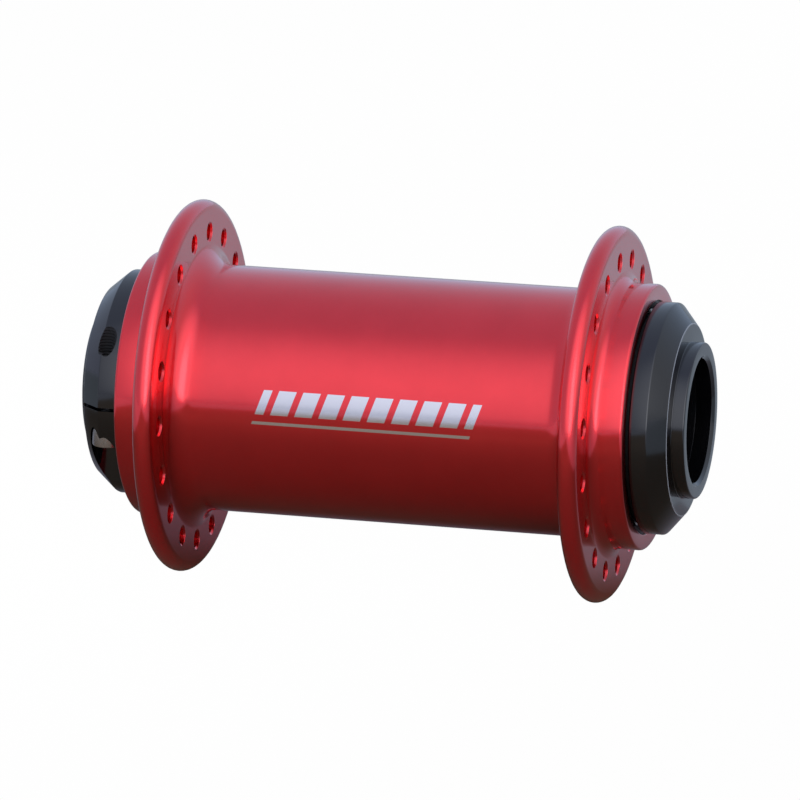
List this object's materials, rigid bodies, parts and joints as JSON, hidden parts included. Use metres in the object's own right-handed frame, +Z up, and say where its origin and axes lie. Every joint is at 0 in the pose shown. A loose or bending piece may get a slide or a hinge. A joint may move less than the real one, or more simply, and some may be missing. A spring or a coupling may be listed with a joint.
{
  "type": "bicycle front hub",
  "caption": "Flanged front hub shell that spins on sealed ball bearings round a hollow axle, with a fixed end cap at one end and a split preload collar with a pinch bolt at the other.",
  "frame": {"origin": "centre of the hub, on its axis and midway between the two end faces", "axes": "+Y along the axle towards the fixed end cap, +Z up, +X towards the slit of the preload collar"},
  "size_m": [0.0608, 0.1, 0.0608],
  "materials": {
    "red_anodised": "satin red anodised",
    "black_anodised": "satin black anodised",
    "bearing_steel": "ground and polished",
    "bright_steel": "turned",
    "spring_steel": "phosphated",
    "black_rubber": "matte",
    "cage_nylon": "natural nylon"
  },
  "bodies": {
    "axle_assembly": {"axle": "black_anodised", "right_end_cap": "black_anodised", "right_end_cap_o_ring": "black_rubber", "right_dust_seal": "black_rubber", "left_bearing_inner_race": "bearing_steel", "right_bearing_inner_race": "bearing_steel"},
    "shell_assembly": {"hub_shell": "red_anodised", "left_bearing_outer_race": "bearing_steel", "right_bearing_outer_race": "bearing_steel", "left_bearing_inboard_seal": "black_rubber", "left_bearing_outboard_seal": "black_rubber", "right_bearing_inboard_seal": "black_rubber", "right_bearing_outboard_seal": "black_rubber", "left_retaining_ring": "spring_steel", "right_retaining_ring": "spring_steel"},
    "left_ball_train": {"left_bearing_cage": "cage_nylon", "left_bearing_ball_01": "bearing_steel", "left_bearing_ball_02": "bearing_steel", "left_bearing_ball_03": "bearing_steel", "left_bearing_ball_04": "bearing_steel", "left_bearing_ball_05": "bearing_steel", "left_bearing_ball_06": "bearing_steel", "left_bearing_ball_07": "bearing_steel", "left_bearing_ball_08": "bearing_steel", "left_bearing_ball_09": "bearing_steel", "left_bearing_ball_10": "bearing_steel", "left_bearing_ball_11": "bearing_steel", "left_bearing_ball_12": "bearing_steel", "left_bearing_ball_13": "bearing_steel", "left_bearing_ball_14": "bearing_steel"},
    "right_ball_train": {"right_bearing_cage": "cage_nylon", "right_bearing_ball_01": "bearing_steel", "right_bearing_ball_02": "bearing_steel", "right_bearing_ball_03": "bearing_steel", "right_bearing_ball_04": "bearing_steel", "right_bearing_ball_05": "bearing_steel", "right_bearing_ball_06": "bearing_steel", "right_bearing_ball_07": "bearing_steel", "right_bearing_ball_08": "bearing_steel", "right_bearing_ball_09": "bearing_steel", "right_bearing_ball_10": "bearing_steel", "right_bearing_ball_11": "bearing_steel", "right_bearing_ball_12": "bearing_steel", "right_bearing_ball_13": "bearing_steel", "right_bearing_ball_14": "bearing_steel"},
    "preload_washer": {"preload_washer": "bright_steel"},
    "adjusting_collar": {"adjusting_collar": "black_anodised", "left_dust_seal": "black_rubber"},
    "pinch_bolt_washer": {"pinch_bolt_washer": "bright_steel"},
    "pinch_bolt": {"pinch_bolt": "bright_steel"}
  },
  "joints": [
    {"name": "shell_spin", "type": "hinge", "parent": "axle_assembly", "child": "shell_assembly", "pos_m": [0, 0, 0], "axis": [0, 1, 0], "continuous": true},
    {"name": "left_ball_train_orbit", "type": "hinge", "parent": "axle_assembly", "child": "left_ball_train", "pos_m": [0, -0.0372, 0], "axis": [0, 1, 0], "continuous": true},
    {"name": "right_ball_train_orbit", "type": "hinge", "parent": "axle_assembly", "child": "right_ball_train", "pos_m": [0, 0.0372, 0], "axis": [0, 1, 0], "continuous": true},
    {"name": "preload_washer_travel", "type": "slide", "parent": "axle_assembly", "child": "preload_washer", "axis": [0, -1, 0], "range_m": [0, 0.00075]},
    {"name": "collar_turn", "type": "hinge", "parent": "preload_washer", "child": "adjusting_collar", "pos_m": [0, -0.045, 0], "axis": [0, -1, 0], "range_deg": [0, 270]},
    {"name": "pinch_washer_travel", "type": "slide", "parent": "adjusting_collar", "child": "pinch_bolt_washer", "axis": [0, 0, -1], "range_m": [0, 0.000625]},
    {"name": "pinch_bolt_turn", "type": "hinge", "parent": "pinch_bolt_washer", "child": "pinch_bolt", "pos_m": [0.01475, -0.0448, 0], "axis": [0, 0, -1], "range_deg": [0, 450]}
  ],
  "couplings": [
    {"joint": "left_ball_train_orbit", "follows": "shell_spin", "ratio": 0.5565},
    {"joint": "right_ball_train_orbit", "follows": "shell_spin", "ratio": 0.5565},
    {"joint": "collar_turn", "follows": "preload_washer_travel", "rad_per_m": 6283.2},
    {"joint": "pinch_bolt_turn", "follows": "pinch_washer_travel", "rad_per_m": 12566}
  ]
}
